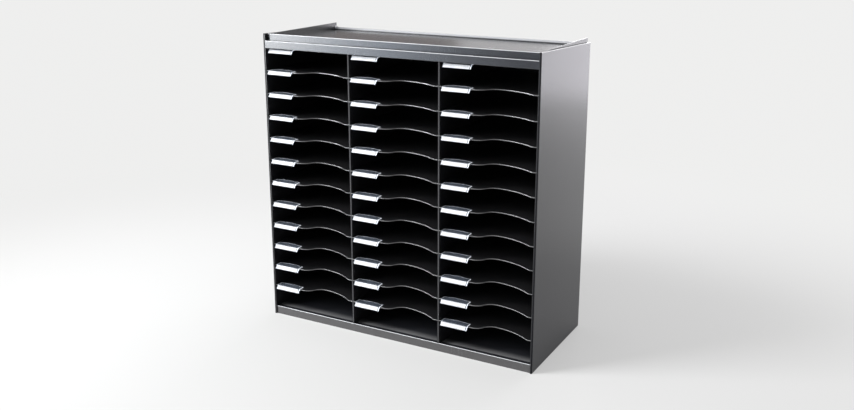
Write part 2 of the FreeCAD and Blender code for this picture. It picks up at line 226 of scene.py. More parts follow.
def rounded_outline(corners, radii, steps):
    """A closed outline with each corner replaced by an arc. For a corner where the direction turns
    by an angle, the arc starts radius * tan(angle / 2) before the corner, and its points lie on
    the circle round a centre on the inner side of the turn."""
    before = corners - np.roll(corners, 1, axis=0)
    before /= np.linalg.norm(before, axis=1, keepdims=True)
    after = np.roll(before, -1, axis=0)
    turn = np.arctan2(before[:, 0] * after[:, 1] - before[:, 1] * after[:, 0],
                      (before * after).sum(axis=1))
    start = corners - before * (radii * np.tan(np.abs(turn) / 2))[:, None]
    inner = np.column_stack([-before[:, 1], before[:, 0]]) * np.sign(turn)[:, None]
    centre = start + inner * radii[:, None]
    angle = turn[:, None] * np.linspace(0, 1, steps + 1)
    spoke = (start - centre)[:, None, :]
    cosine, sine = np.cos(angle), np.sin(angle)
    swung = np.stack([spoke[..., 0] * cosine - spoke[..., 1] * sine,
                      spoke[..., 0] * sine + spoke[..., 1] * cosine], axis=-1)
    return (centre[:, None, :] + swung).reshape(-1, 2)


def make_piece(name, points, faces, finishes, face_finish=None):
    """A mesh object from points and faces, with its faces turned outwards. The face finish gives
    the number of each face's finish."""
    mesh = bpy.data.meshes.new(name)
    mesh.from_pydata(points.tolist(), [], faces)
    for finish in finishes:
        mesh.materials.append(finish)
    if face_finish is not None:
        mesh.polygons.foreach_set("material_index", np.asarray(face_finish, np.int32))
    shell = bmesh.new()
    shell.from_mesh(mesh)
    bmesh.ops.recalc_face_normals(shell, faces=shell.faces)
    shell.to_mesh(mesh)
    shell.free()
    mesh.shade_smooth()
    mesh.set_sharp_from_angle(angle=SHARP_ANGLE)
    piece = bpy.data.objects.new(name, mesh)
    bpy.context.scene.collection.objects.link(piece)
    return piece


# ---- Shelf plates ----
def front_line(sizes, left, right):
    """The shelf's front edge in plan from left to right, X from the column's left wall and Y from
    the front edge, and the heading at each point: straight, then an S of two equal arcs to the
    deepest point, one long arc back, and a fillet into the straight land."""
    apex = sizes.scoop_start + sizes.scoop_flank
    land = right - sizes.groove_fit - sizes.scoop_land
    depth = sizes.scoop_depth
    s_radius = (sizes.scoop_flank ** 2 + depth ** 2) / (4 * depth)
    s_turn = 2 * math.atan2(depth, sizes.scoop_flank)
    reach = land - apex
    return_radius = (reach ** 2 + depth ** 2 - 2 * depth * sizes.scoop_fillet) / (2 * depth)
    return_turn = math.atan2(reach, return_radius - depth + sizes.scoop_fillet)
    bends = [(s_radius, s_turn), (s_radius, -s_turn), (return_radius, -return_turn),
             (sizes.scoop_fillet, return_turn)]
    place = np.array([sizes.scoop_start, 0.0])
    heading = 0.0
    points, headings = [np.array([[left, 0.0]])], [np.zeros(1)]
    for radius, turn in bends:
        arc, directions = arc_path(place, heading, radius, turn, sizes.arc_steps)
        points.append(arc[:-1])
        headings.append(directions[:-1])
        place, heading = arc[-1], directions[-1]
    points.append(np.array([place, [right, 0.0]]))
    headings.append(np.zeros(2))
    return np.concatenate(points), np.concatenate(headings)


def edge_profile(sizes):
    """The plate's front edge in section: distances in from the front line, and heights. Two
    quarter circles join the underside, the upright front and the top. One more point on each flat
    side keeps the shading of the flats level, and one halfway up parts the edge's two finishes."""
    radius, thickness = sizes.edge_radius, sizes.thickness
    flat = 2 * radius
    angle = np.linspace(0, math.pi / 2, sizes.round_steps + 1)
    lower = np.column_stack([radius - radius * np.sin(angle), radius - radius * np.cos(angle)])
    upper = np.column_stack([radius - radius * np.cos(angle),
                             thickness - radius + radius * np.sin(angle)])
    return np.concatenate([[[flat, 0.0]], lower, [[0.0, thickness / 2]], upper,
                           [[flat, thickness]]])


def shelf_plate(name, sizes, corner, width, length, finishes):
    """A plate whose section runs from the rear edge along the underside, round the front edge and
    back along the top. At each point of the front line the rounding is set off along the line's
    inward normal, and the rear edge lies straight behind the point. The front edge's upper half
    takes the second finish, a paler colour that is a painted highlight."""
    line, heading = front_line(sizes, -sizes.groove_fit, width - sizes.groove_fit)
    profile = edge_profile(sizes)
    inward = np.column_stack([-np.sin(heading), np.cos(heading)])
    front = line[:, None, :] + inward[:, None, :] * profile[None, :, :1]
    heights = np.broadcast_to(profile[:, 1], front.shape[:2])
    ring = np.concatenate([front, heights[..., None]], axis=-1)
    rear_low = np.column_stack([line[:, 0], np.full(len(line), length), np.zeros(len(line))])
    rear_high = rear_low + [0.0, 0.0, sizes.thickness]
    ring = np.concatenate([rear_low[:, None], ring, rear_high[:, None]], axis=1)
    rows, columns = ring.shape[:2]
    faces = grid_faces(rows, columns).tolist() + end_faces(rows, columns)
    column = np.arange(columns)
    # The upper half of the front edge takes the painted highlight finish
    halfway, flat_top = sizes.round_steps + 3, columns - 3
    upper_half = (column >= halfway) & (column < flat_top)
    face_finish = np.append(np.tile(upper_half, rows - 1), [False, False])
    return make_piece(name, ring.reshape(-1, 3) + corner, faces, finishes, face_finish)


# ---- Label holders and cards ----
BOW_STEPS, CARD_STEPS = 12, 16  # steps along X of a holder's walls and of a card
CORNER_STEPS = 3  # steps round each rounded corner of a holder's section
REAR_FACE = CORNER_STEPS  # the section's face between its first two corners
CARD_BOW = 0.9  # the share of its play in the slot that a card bows by
# Radii of a section's corners: shares of the tab's thickness for plain and for hanging corners, of
# a plain corner for inner ones, and of the pocket's thickness for the pocket's lower ones
PLAIN_CORNER, HANGING_CORNER, INNER_CORNER, POCKET_CORNER = 0.3, 0.25, 0.5, 0.45


class LabelSection:
    """The section of a label holder in (y, z), from the fold between its tab and sloping face."""
    def __init__(self, sizes, fold):
        self.sizes = sizes
        self.fold = np.array(fold)
        self.slope = math.hypot(sizes.face_reach, sizes.face_drop)
        self.down = np.array([-sizes.face_reach, -sizes.face_drop]) / self.slope
        self.inward = np.array([-self.down[1], self.down[0]])
        self.thickness = 2 * sizes.sheet + sizes.slot

    def on_slope(self, along, depth):
        """The point this far down the slope from the fold, and this deep under the face."""
        return self.fold + along * self.down + depth * self.inward

    def strip(self, start, finish, above, below):
        """Corners of a strip along the slope."""
        return np.array([self.on_slope(start, above), self.on_slope(finish, above),
                         self.on_slope(finish, below), self.on_slope(start, below)])

    def slot(self, margin):
        """Corners of the card's space, drawn in by a margin."""
        sizes = self.sizes
        return self.strip(2 * sizes.sheet + margin, self.slope - sizes.sheet - margin,
                          sizes.sheet + margin, sizes.sheet + sizes.slot - margin)

    def back_meets(self, y):
        """The point of the pocket's back at this Y."""
        start = self.on_slope(0, self.thickness)
        return start + self.down * ((y - start[0]) / self.down[0])


def extruded_holder(name, outline, slot, x0, x1, rim, tab, bow, finishes):
    """A closed outline with a slot in it, carried from x0 to x1. Both walls are grids of a loop's
    points at places along X, the last two a rim's width apart, and the ends are the outline's face
    less the slot. Behind the tab's root the tab rises by its bow, times the square of the share of
    the tab's depth, times half a sine wave from end to end; tab is the Y of its root and rear. The
    ends, the rim and the tab's rear face, between the outline's first two corners, take the second
    finish: a frosted cut edge with a painted glow."""
    stations = np.append(np.linspace(x0, x1 - rim, BOW_STEPS + 1), x1)
    rows = len(stations)
    wave = np.sin(math.pi * (stations - x0) / (x1 - x0))
    root, rear = tab
    points, sides, frosted_and_glow, start = [], [], [], 0
    for loop in (outline, slot):
        count = len(loop)
        share = np.clip((loop[:, 0] - root) / (rear - root), 0, 1)
        ring = np.tile(loop, (rows, 1))
        ring[:, 1] += bow * np.outer(wave, share ** 2).ravel()
        points.append(np.column_stack([np.repeat(stations, count), ring]))
        sides.append(grid_faces(rows, count) + start)
        at_rim = np.arange(rows - 1)[:, None] == BOW_STEPS
        at_rear = (np.arange(count) == REAR_FACE) & (loop is outline)
        frosted_and_glow.append((at_rim | at_rear).ravel())
        start += rows * count
    counts = (len(outline), len(slot))
    first = np.append(np.arange(counts[0]), rows * counts[0] + np.arange(counts[1]))
    last = first + (rows - 1) * np.repeat(counts, counts)
    loops = [np.pad(loop, ((0, 0), (1, 0))).tolist() for loop in (outline, slot)]
    ends = [end[list(triangle)].tolist() for triangle in tessellate_polygon(loops)
            for end in (first, last)]
    face_finish = np.concatenate(frosted_and_glow + [np.ones(len(ends), bool)])
    return make_piece(name, np.concatenate(points), np.concatenate(sides).tolist() + ends,
                      finishes, face_finish)


def shelf_holder_outline(sizes):
    """Section of a holder clipped over a shelf's front edge: tab above, leg below, sloping pocket
    in front. Y is from the shelf's front edge and Z from its underside."""
    plate = bpy.context.scene.sorter_shelf.thickness
    section = LabelSection(sizes, (-2 * sizes.sheet - sizes.slot, plate + sizes.tab))
    front, top = section.fold
    corners = np.array([
        (sizes.tab_depth, plate), (sizes.tab_depth, top), (front, top),
        section.on_slope(section.slope, 0), section.on_slope(section.slope, section.thickness),
        section.back_meets(front), (front, -sizes.tab), (sizes.clip_depth, -sizes.tab),
        (sizes.clip_depth, 0.0), (0.0, 0.0), (0.0, plate)])
    plain, pocket = sizes.tab * PLAIN_CORNER, section.thickness * POCKET_CORNER
    radii = np.array([plain] * 2 + [sizes.tab] + [pocket] * 2 + [plain] * 4
                     + [plain * INNER_CORNER] * 2)
    return section, rounded_outline(corners, radii, CORNER_STEPS)


def hanging_holder_outline(sizes):
    """Section of a top holder, clipped round the top rail's lower return. Y is from the rail's
    front and Z from its underside."""
    section = LabelSection(sizes, (sizes.hanging_setback + sizes.face_reach, -sizes.hanging_drop))
    front, top = section.fold
    lip, wall = sizes.rail_return, sizes.rail_return + sizes.tab
    back = front + sizes.tab_depth
    leg = sizes.rail_sheet
    under = top - sizes.tab
    pocket_back = section.on_slope(0, section.thickness)
    meeting = pocket_back + section.down * ((under - pocket_back[1]) / section.down[1])
    corners = np.array([
        (back, under), (back, top), (wall, top), (wall, leg + sizes.tab),
        (lip - sizes.clip_depth, leg + sizes.tab), (lip - sizes.clip_depth, leg), (lip, leg),
        (lip, 0.0), (front, 0.0), (front, -sizes.tab), (lip, -sizes.tab), (lip, top), (front, top),
        section.on_slope(section.slope, 0), section.on_slope(section.slope, section.thickness),
        meeting])
    plain, pocket = sizes.tab * HANGING_CORNER, section.thickness * POCKET_CORNER
    radii = np.array([plain] * 12 + [sizes.tab] + [pocket] * 2 + [plain])
    return section, rounded_outline(corners, radii, CORNER_STEPS)


def label_card(name, section, x0, x1, y, z, finish):
    """A card in its pocket: the slot's section, less the play, carried along X on a grid. The card
    bows towards the front by a share of the play, as half a sine wave from end to end."""
    sizes = section.sizes
    play = (sizes.slot - sizes.card) / 2
    corners = section.slot(play)
    share = np.linspace(0, 1, CARD_STEPS + 1)
    bow = CARD_BOW * play * np.sin(math.pi * share)
    loop = corners[None, :, :] + section.inward * -bow[:, None, None]
    across = np.broadcast_to((x0 + (x1 - x0) * share)[:, None, None], loop.shape[:2] + (1,))
    points = np.concatenate([across, loop], axis=-1).reshape(-1, 3) + [0.0, y, z]
    rows, columns = loop.shape[:2]
    faces = grid_faces(rows, columns).tolist() + end_faces(rows, columns)
    return make_piece(name, points, faces, [finish])


# ---- Shader nodes ----
class Number:
    """A socket of a node tree that is used as a number: sums, differences and products add Math
    nodes."""
    def __init__(self, finish, socket):
        self.finish = finish
        self.socket = socket

    def combine(self, operation, first, second):
        return self.finish.node("ShaderNodeMath", {"operation": operation}, {0: first, 1: second})

    def __add__(self, other):
        return self.combine("ADD", self, other)

    def __sub__(self, other):
        return self.combine("SUBTRACT", self, other)

    def __rsub__(self, other):
        return self.combine("SUBTRACT", other, self)

    def __mul__(self, other):
        return self.combine("MULTIPLY", self, other)

    __radd__, __rmul__ = __add__, __mul__


class Finish:
    """A node tree of a material or the world, while it is put together."""
    def __init__(self, owner):
        owner.use_nodes = True
        self.owner = owner
        self.tree = owner.node_tree
        self.tree.nodes.clear()

    def node(self, kind, settings=None, sockets=None, output=0):
        """Adds a node, sets its settings and then its sockets, by name or number, to values or to
        links from other nodes, and returns one of its outputs. A ramp's stops are a setting."""
        node = self.tree.nodes.new(kind)
        for name, value in (settings or {}).items():
            if name == "stops":
                ramp = node.color_ramp
                while len(ramp.elements) < len(value):
                    ramp.elements.new(0.5)
                for element, (place, level) in zip(ramp.elements, value):
                    element.position = place
                    element.color = (level, level, level, 1)
            else:
                setattr(node, name, value)
        for name, value in (sockets or {}).items():
            if isinstance(value, Number):
                self.tree.links.new(value.socket, node.inputs[name])
            else:
                node.inputs[name].default_value = value
        return Number(self, node.outputs[output])

    def place(self):
        """Object coordinates."""
        return self.node("ShaderNodeTexCoord", output="Object")

    def stretched(self, scale, shift=(0, 0, 0)):
        """Object coordinates multiplied by a scale along each axis, and shifted."""
        return self.node("ShaderNodeMapping", None,
                         {"Vector": self.place(), "Scale": scale, "Location": shift})

    def noise(self, scale, detail=2.0, roughness=0.5, vector=None):
        """Noise between 0 and 1, in Object coordinates or another vector."""
        return self.node("ShaderNodeTexNoise", None,
                         {"Vector": vector or self.place(), "Scale": scale, "Detail": detail,
                          "Roughness": roughness})

    def ramp(self, factor, *stops):
        """A grey ramp through stops of a place and a level."""
        return self.node("ShaderNodeValToRGB", {"stops": stops}, {0: factor})

    def depth(self):
        """The Y of Object coordinates."""
        return self.node("ShaderNodeSeparateXYZ", None, {0: self.place()}, output="Y")

    def away(self, along, point):
        """The distance from a line through a point, along one of the axes."""
        across = [1 - step for step in along]
        return self.length(self.stretched(across, [-value for value in point]))

    def length(self, vector):
        """The length of a vector."""
        return self.node("ShaderNodeVectorMath", {"operation": "LENGTH"}, {0: vector},
                         output="Value")

    def falling(self, value, start, finish):
        """One up to the start, smoothly down to zero at the finish."""
        return self.node("ShaderNodeMapRange", {"interpolation_type": "SMOOTHSTEP"},
                         {"Value": value, "From Min": start, "From Max": finish, "To Min": 1.0,
                          "To Max": 0.0})

    def blend(self, share, first, second):
        """A mix of two colours."""
        return self.node("ShaderNodeMix", {"data_type": "RGBA"}, {0: share, 6: first, 7: second},
                         output=2)

    def clouded(self, share, colour, dark, light):
        """One colour that varies between a darker and a lighter level of itself."""
        return self.blend(share, tint(colour, dark), tint(colour, light))

    def bump(self, height, strength, distance):
        return self.node("ShaderNodeBump", None,
                         {"Height": height, "Strength": strength, "Distance": distance})

    def principled(self, **sockets):
        """A Principled shader; a low line in a keyword stands for the space in a socket's name."""
        named = {name.replace("_", " "): value for name, value in sockets.items()}
        return self.node("ShaderNodeBsdfPrincipled", None, named)

    def dull_front(self, shader, shade, front, reach):
        """The shader, but dull from the Y of its front edge as far as the reach, and fading over
        as much again."""
        dull = self.principled(Base_Color=shade, Roughness=0.8, IOR=1.2)
        edge = self.falling(self.depth(), front + reach, front + 2 * reach)
        return self.mixed(edge, shader, dull)

    def glow(self, colour):
        """A plain shader that shows a colour as it is."""
        return self.node("ShaderNodeEmission", None, {"Color": colour, "Strength": 1.0})

    def mixed(self, share, first, second):
        """A mix of two shaders."""
        return self.node("ShaderNodeMixShader", None, {0: share, 1: first, 2: second})

    def finished(self, shader, kind="ShaderNodeOutputMaterial"):
        """Joins a shader to the tree's output and returns what the tree belongs to."""
        self.tree.links.new(shader.socket, self.tree.nodes.new(kind).inputs["Surface"])
        return self.owner


def tint(colour, level=1.0):
    """A colour made lighter or darker, with an alpha of 1."""
    return tuple(min(1.0, channel * level) for channel in colour) + (1.0,)


def new_finish(name):
    return Finish(bpy.data.materials.new(name))


# ---- Finishes ----
BEND_REACH, BACK_RIM_REACH = 0.0017, 0.0070  # how far the painted highlight shows from a bend's line
BEND_CORE = 0.4  # the share of that reach where the painted highlight is at full strength
RIM_THICKNESS, BACK_RIM_DROP = 0.003, 0.0125  # the back rim, and its drop below the side rims
DULL_EDGE, DULL_NOSE = 0.0011, 0.0020  # reach of the side panels' and dividers' dull fronts; the side panels' one is also painted darker, as painted shade
NOSE_CORE, NOSE_REACH = 0.0008, 0.0013  # a divider's painted highlight line: at full strength, and faded out
POOL_START, POOL_REACH = 0.0080, 0.040  # where the painted pool of light on the floor starts, behind a dark strip, and where it has faded, from the floor's front edge
FACE_DEPTH = 0.0003  # depth of a face painted lighter as painted light, and of a crisp border
# Scales of the noises, given for each axis where they are drawn out along one
STEEL_GRAIN, WALL_GRAIN, SHELF_GRAIN, EDGE_GRAIN = 1100.0, 1300.0, 900.0, 1500.0
STEEL_STREAKS, CLEAR_LINES = (260.0, 40.0, 14.0), (8.0, 900.0, 900.0)
CARD_FIBRES = (500.0, 1500.0, 1500.0)


def painted_steel(name, roughness=0.23, ior=1.75, bends=(), dull_front=None, light_pool_front=None,
                  lit_face_y=None):
    """Satin powder coat: a fine orange-peel grain, soft clouds in its depth and gloss, and a few
    rubbed streaks. Along the bends, given as (y, z) lines across the cabinet and their reach, a
    pale painted highlight is laid on the coat. A front edge that is dull and painted darker as
    painted shade, a painted pool of light on a floor's front behind a dark strip, and a face
    painted in the lighter base colour as painted light are given by their Y."""
    colours = bpy.context.scene.sorter_finish
    finish = new_finish(name)
    clouds = finish.noise(scale=7.0, detail=3.0)
    grain = finish.noise(STEEL_GRAIN, roughness=0.6)
    streaks = finish.noise(scale=1.0, detail=3.0, roughness=0.6,
                           vector=finish.stretched(STEEL_STREAKS))
    shade = finish.clouded(clouds * 0.7 + grain * 0.3, colours.steel, dark=0.80, light=1.22)
    rubbed_and_highlight = finish.ramp(streaks, (0.55, 0.0), (0.75, 1.0))
    rough = roughness + clouds * 0.05 + grain * 0.02 + rubbed_and_highlight * 0.006
    # Painted light: the face in front of the given Y takes the lighter base colour
    if lit_face_y is not None:
        face = finish.falling(finish.depth(), lit_face_y + FACE_DEPTH, lit_face_y + 2 * FACE_DEPTH)
        shade = finish.blend(face, shade, tint(colours.base))
    # Painted highlight: a pale line along each bend, standing for the light its rounding catches
    for y, z, reach in bends:
        distance = finish.away((1, 0, 0), (0, y, z))
        highlight_share = finish.falling(distance, BEND_CORE * reach, reach)
        shade = finish.blend(highlight_share * (0.75 + clouds * 0.5), shade, tint(colours.bend))
    # Painted light: a pool of light on the floor's front, behind a dark unpainted strip
    if light_pool_front is not None:
        inner = light_pool_front + POOL_START
        light_pool = (finish.falling(finish.depth(), inner, light_pool_front + POOL_REACH)
                - finish.falling(finish.depth(), inner - FACE_DEPTH, inner + FACE_DEPTH))
        shade = finish.blend(light_pool * (0.6 + clouds * 0.6), shade, tint(colours.light_pool))
    relief = finish.bump(grain, strength=0.025, distance=0.0002)
    coat = finish.principled(Base_Color=shade, Roughness=rough, Normal=relief, IOR=ior)
    # Painted shade: the front edge is dull and painted at half the steel's colour
    if dull_front is not None:
        coat = finish.dull_front(coat, tint(colours.steel, 0.5), dull_front, DULL_EDGE)
    return finish.finished(coat)


def black_plastic(name, colour, grain_scale, roughness=0.30, ior=1.48, nose=None):
    """Moulded plastic with a fine leathered grain and faint flow clouds. A wall with a nose, given
    as the (x, y) of its front edge's middle, gets a painted highlight along it and is dull around
    it."""
    finish = new_finish(name)
    clouds = finish.noise(scale=11.0, detail=3.0)
    grain = finish.noise(grain_scale, detail=3.0, roughness=0.6)
    shade = finish.clouded(clouds, colour, dark=0.8, light=1.25)
    rough = roughness + clouds * 0.06 + grain * 0.06
    # Painted highlight: a light line along the divider's front edge
    if nose is not None:
        distance = finish.away((0, 0, 1), (*nose, 0))
        rubbed_and_highlight = finish.falling(distance, NOSE_CORE, NOSE_REACH)
        shade = finish.blend(rubbed_and_highlight, shade, tint(bpy.context.scene.sorter_finish.nose))
    relief = finish.bump(grain, strength=0.12, distance=0.0003)
    plastic = finish.principled(Base_Color=shade, Roughness=rough, Normal=relief, IOR=ior)
    if nose is not None:
        plastic = finish.dull_front(plastic, shade, nose[1], DULL_NOSE)
    return finish.finished(plastic)


def clear_plastic(name, colour, least_alpha, haze=0.12, painted_glow=0.0):
    """Clear plastic sheet: mostly see-through, with a faint haze in clouds and drawn lines along
    its length, and a glossy surface. Cut edges can be given a painted glow in the sheet's colour,
    standing for the light the sheet gathers."""
    finish = new_finish(name)
    clouds = finish.noise(scale=60.0)
    lines = finish.noise(scale=1.0, vector=finish.stretched(CLEAR_LINES))
    solid = finish.ramp(clouds * 0.6 + lines * 0.4, (0.30, least_alpha),
                        (0.75, min(1.0, least_alpha + haze)))
    shade = finish.clouded(clouds, colour, dark=0.94, light=1.04)
    # Painted glow: the emission stands for light that the sheet gathers
    return finish.finished(finish.principled(
        Base_Color=shade, Roughness=0.10 + lines * 0.10, Alpha=solid, IOR=1.49,
        Emission_Color=tint(colour), Emission_Strength=painted_glow))


def card_stock():
    """Plain white card: felted fibres in its shade and a little tooth."""
    finish = new_finish("label_card")
    fibres = finish.noise(scale=1.0, detail=3.0, roughness=0.6,
                          vector=finish.stretched(CARD_FIBRES))
    clouds = finish.noise(scale=90.0)
    shade = finish.clouded(fibres * 0.5 + clouds * 0.5, bpy.context.scene.sorter_finish.card,
                           dark=0.97, light=1.02)
    relief = finish.bump(fibres, strength=0.15, distance=0.00005)
    return finish.finished(finish.principled(
        Base_Color=shade, Roughness=0.7 + fibres * 0.15, Normal=relief))


def blackened_zinc():
    """Blackened zinc plate on rivets and screws: a cloudy, slightly brushed metal."""
    finish = new_finish("blackened_zinc")
    clouds = finish.noise(scale=350.0, detail=3.0)
    shade = finish.clouded(clouds, bpy.context.scene.sorter_finish.zinc, dark=0.6, light=1.5)
    relief = finish.bump(clouds, strength=0.08, distance=0.0002)
    return finish.finished(finish.principled(
        Base_Color=shade, Metallic=0.9, Roughness=0.28 + clouds * 0.2, Normal=relief))


def give_finish(nodes, finish):
    """Puts one finish on every material slot of these CAD nodes."""
    for name in nodes:
        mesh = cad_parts[name].data
        mesh.materials.clear()
        mesh.materials.append(finish)


# ---- Operators: the cabinet ----
class SORTER_OT_steel_panels(bpy.types.Operator):
    """Paints the folded steel sheets of the cabinet"""
    bl_idname = "sorter.steel_panels"
    bl_label = "Steel panels"

    def execute(self, context):
        # The side panels' front edges are painted darker, as painted shade
        give_finish(SIDE_NODES, painted_steel("painted_sides", roughness=0.17,
                                              dull_front=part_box("side_skin_left")[0].y))
        give_finish(["back_panel"], painted_steel("painted_back"))
        # The floor's front carries a painted pool of light
        give_finish(["base_panel"], painted_steel("painted_floor", roughness=0.45, ior=1.3,
                                                  light_pool_front=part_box("base_panel")[0].y))
        # The base rail's front face is painted lighter, as painted light
        for node, face in (("top_rail", None), ("base_rail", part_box("base_rail")[0].y)):
            # Each rail's front bend gets a painted highlight
            low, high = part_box(node)
            give_finish([node], painted_steel("painted_" + node, lit_face_y=face,
                                              bends=[(low.y, high.z, BEND_REACH)]))
        low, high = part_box("top_tray")
        # The tray's front bend and the back rim's top inner edge get painted highlights, the back
        # rim's a wider one
        back_rim = (high.y - RIM_THICKNESS, high.z - BACK_RIM_DROP, BACK_RIM_REACH)
        give_finish(["top_tray"], painted_steel("painted_tray", bends=[
            (low.y, high.z, BEND_REACH), back_rim]))
        return {"FINISHED"}


class SORTER_OT_plastic_walls(bpy.types.Operator):
    """Finishes the grooved liners and dividers in black plastic"""
    bl_idname = "sorter.plastic_walls"
    bl_label = "Plastic walls"

    def execute(self, context):
        colour = context.scene.sorter_finish.plastic
        give_finish(LINER_NODES, black_plastic("liner_plastic", colour, WALL_GRAIN))
        for node in DIVIDER_NODES:
            low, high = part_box(node)
            nose = ((low.x + high.x) / 2, low.y)
            give_finish([node], black_plastic(node + "_plastic", colour, WALL_GRAIN, nose=nose))
        return {"FINISHED"}


class SORTER_OT_fasteners(bpy.types.Operator):
    """Finishes the rivets and screws in blackened zinc"""
    bl_idname = "sorter.fasteners"
    bl_label = "Fasteners"

    def execute(self, context):
        give_finish(FASTENER_NODES, blackened_zinc())
        return {"FINISHED"}


# ---- Operators: shelves and labels ----
def shelf_place(node):
    """The column's left wall, the front edge and the underside of a shelf, and its width and
    length, from the CAD node's box. The box's top is the label tab's top."""
    scene = bpy.context.scene
    low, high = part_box(node)
    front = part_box("divider_1")[0].y
    bottom = high.z - scene.sorter_label.tab - scene.sorter_shelf.thickness
    corner = np.array([low.x + scene.sorter_shelf.groove_fit, front, bottom])
    return corner, high.x - low.x, high.y - front


class SORTER_OT_shelf_plates(bpy.types.Operator):
    """Makes the shelf plates with their rounded finger scoops"""
    bl_idname = "sorter.shelf_plates"
    bl_label = "Shelf plates"

    def execute(self, context):
        colours = context.scene.sorter_finish
        # The second finish paints a highlight on the upper half of the front edges
        finishes = [black_plastic("shelf_plastic", colours.shelf, SHELF_GRAIN),
                    black_plastic("shelf_edge_highlight", colours.shelf_edge_highlight, EDGE_GRAIN, roughness=0.12,
                                  ior=1.75)]
        for node in SHELF_NODES:
            corner, width, length = shelf_place(node)
            plate = shelf_plate(node + "_plate", context.scene.sorter_shelf, corner, width, length,
                                finishes)
            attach(plate, node)
            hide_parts(node)
        return {"FINISHED"}


def clear_finishes():
    """The two finishes of a label holder: its clear sheet and its frosted cut edges, which carry a
    painted glow.
    """
    colours = bpy.context.scene.sorter_finish
    return [clear_plastic("clear_plastic", colours.clear, least_alpha=0.03),
            clear_plastic("clear_plastic_edge", colours.frosted_and_glow, least_alpha=0.85, painted_glow=0.50)]


def holder_and_card(names, section, outline, place, left, tab, bow, finishes, stock):
    """A label holder with its left end at this X, and the card in it."""
    sizes = section.sizes
    right = left + sizes.width
    holder = extruded_holder(names[0], outline + place, section.slot(0) + place, left, right,
                             sizes.rim, tab, bow, finishes)
    card = label_card(names[1], section, left + sizes.card_left, right - sizes.card_right,
                      place[0], place[1], stock)
    return holder, card


class SORTER_OT_shelf_labels(bpy.types.Operator):
    """Makes the clear label holders of the shelves and their cards"""
    bl_idname = "sorter.shelf_labels"
    bl_label = "Shelf labels"

    def execute(self, context):
        sizes = context.scene.sorter_label
        section, outline = shelf_holder_outline(sizes)
        finishes, stock = clear_finishes(), card_stock()
        for node in SHELF_NODES:
            corner = shelf_place(node)[0]
            tab = corner[1] + np.array([sizes.clip_depth / 2, sizes.tab_depth])
            pieces = holder_and_card((node + "_holder", node + "_card"), section, outline,
                                     corner[1:], corner[0] + sizes.inset, tab, sizes.bow,
                                     finishes, stock)
            for piece, slot in zip(pieces, ("clear_plastic", "label_card")):
                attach(piece, node)
                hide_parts(node)
        return {"FINISHED"}


class SORTER_OT_top_labels(bpy.types.Operator):
    """Makes the label holders that hang under the top rail, and their cards"""
    bl_idname = "sorter.top_labels"
    bl_label = "Top labels"

    def execute(self, context):
        sizes = context.scene.sorter_label
        section, outline = hanging_holder_outline(sizes)
        finishes, stock = clear_finishes(), card_stock()
        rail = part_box("top_rail")[0]
        place = np.array([rail.y, rail.z])
        flat_tab = (rail.y, rail.y + sizes.tab_depth)
        for column in ("left", "middle", "right"):
            left = shelf_place("shelf_" + column + "_01")[0][0] + sizes.inset
            names = ("top_label_holder_" + column, "top_label_card_" + column)
            holder, card = holder_and_card(names, section, outline, place, left, flat_tab, 0.0,
                                           finishes, stock)
            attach(holder, "cabinet")
            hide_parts("top_label_holders")
            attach(card, "cabinet")
            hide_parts("top_label_cards")
        return {"FINISHED"}


# ---- Operator: the stage ----
FLOOR_HALF = 30.0  # half the floor's width
FLOOR_SHADE = 0.91  # the matt floor's level beside the background
FADE_START, FADE_END = 0.75, 2.1  # the floor fades between these distances from the origin
LEAST_FADE = 0.42  # the share of plain colour near the cabinet
LAMP_POWER = 4.0  # watts for each square metre of a lamp of level 1
SENSOR_WIDTH = 36.0  # the camera's, in millimetres
# Azimuth in degrees, distance and height of the middle, width, length, level and colour
LAMPS = {
    "window_front_left": (-49, 3.6, 1.04, 1.4, 1.52, 14.0, (0.96, 0.98, 1.0)),
    "window_upper_left": (-45, 2.4, 3.0, 1.2, 1.2, 12.0, (1.0, 1.0, 1.0)),
    "window_back_right": (174, 3.9, 1.20, 3.0, 2.0, 4.0, (0.97, 0.96, 1.0)),
    "ceiling": (10, 0.8, 3.4, 2.6, 2.6, 0.8, (1.0, 1.0, 1.0)),
}
# The same without a level, which the colour includes
MIRROR_CARDS = {
    "mirror_card_left": (-33, 3.2, 0.5, 0.60, 1.0, (3.0, 3.5, 4.2)),
    "mirror_card_front": (-10, 3.0, 0.5, 1.9, 1.2, (0.10, 0.12, 0.17)),
    "mirror_card_side": (-80, 3.2, 0.9, 1.9, 1.5, (18.0, 18.3, 19.0)),
    "mirror_card_back": (219, 3.6, 1.2, 1.72, 1.4, (0.31, 0.27, 0.26)),
    "mirror_card_tray": (199.5, 3.5, 1.25, 0.67, 1.2, (1.10, 1.08, 1.09)),
    "mirror_card_low": (157, 3.3, 0.34, 1.6, 0.48, (2.5, 2.45, 2.6)),
}


def floor_finish(pale):
    """A pale matt floor that keeps the shadow near the object, and fades into the background's
    plain colour for the camera farther out."""
    finish = new_finish("pale_floor")
    near = finish.falling(finish.length(finish.place()), FADE_START, FADE_END)
    faded = 1 - near * (1 - LEAST_FADE)
    seen = finish.node("ShaderNodeLightPath", output="Is Camera Ray")
    matt = finish.principled(Base_Color=tint(pale, FLOOR_SHADE), Roughness=0.9,
                             Specular_IOR_Level=0.0)
    return finish.finished(finish.mixed(faded * seen, matt, finish.glow(tint(pale))))


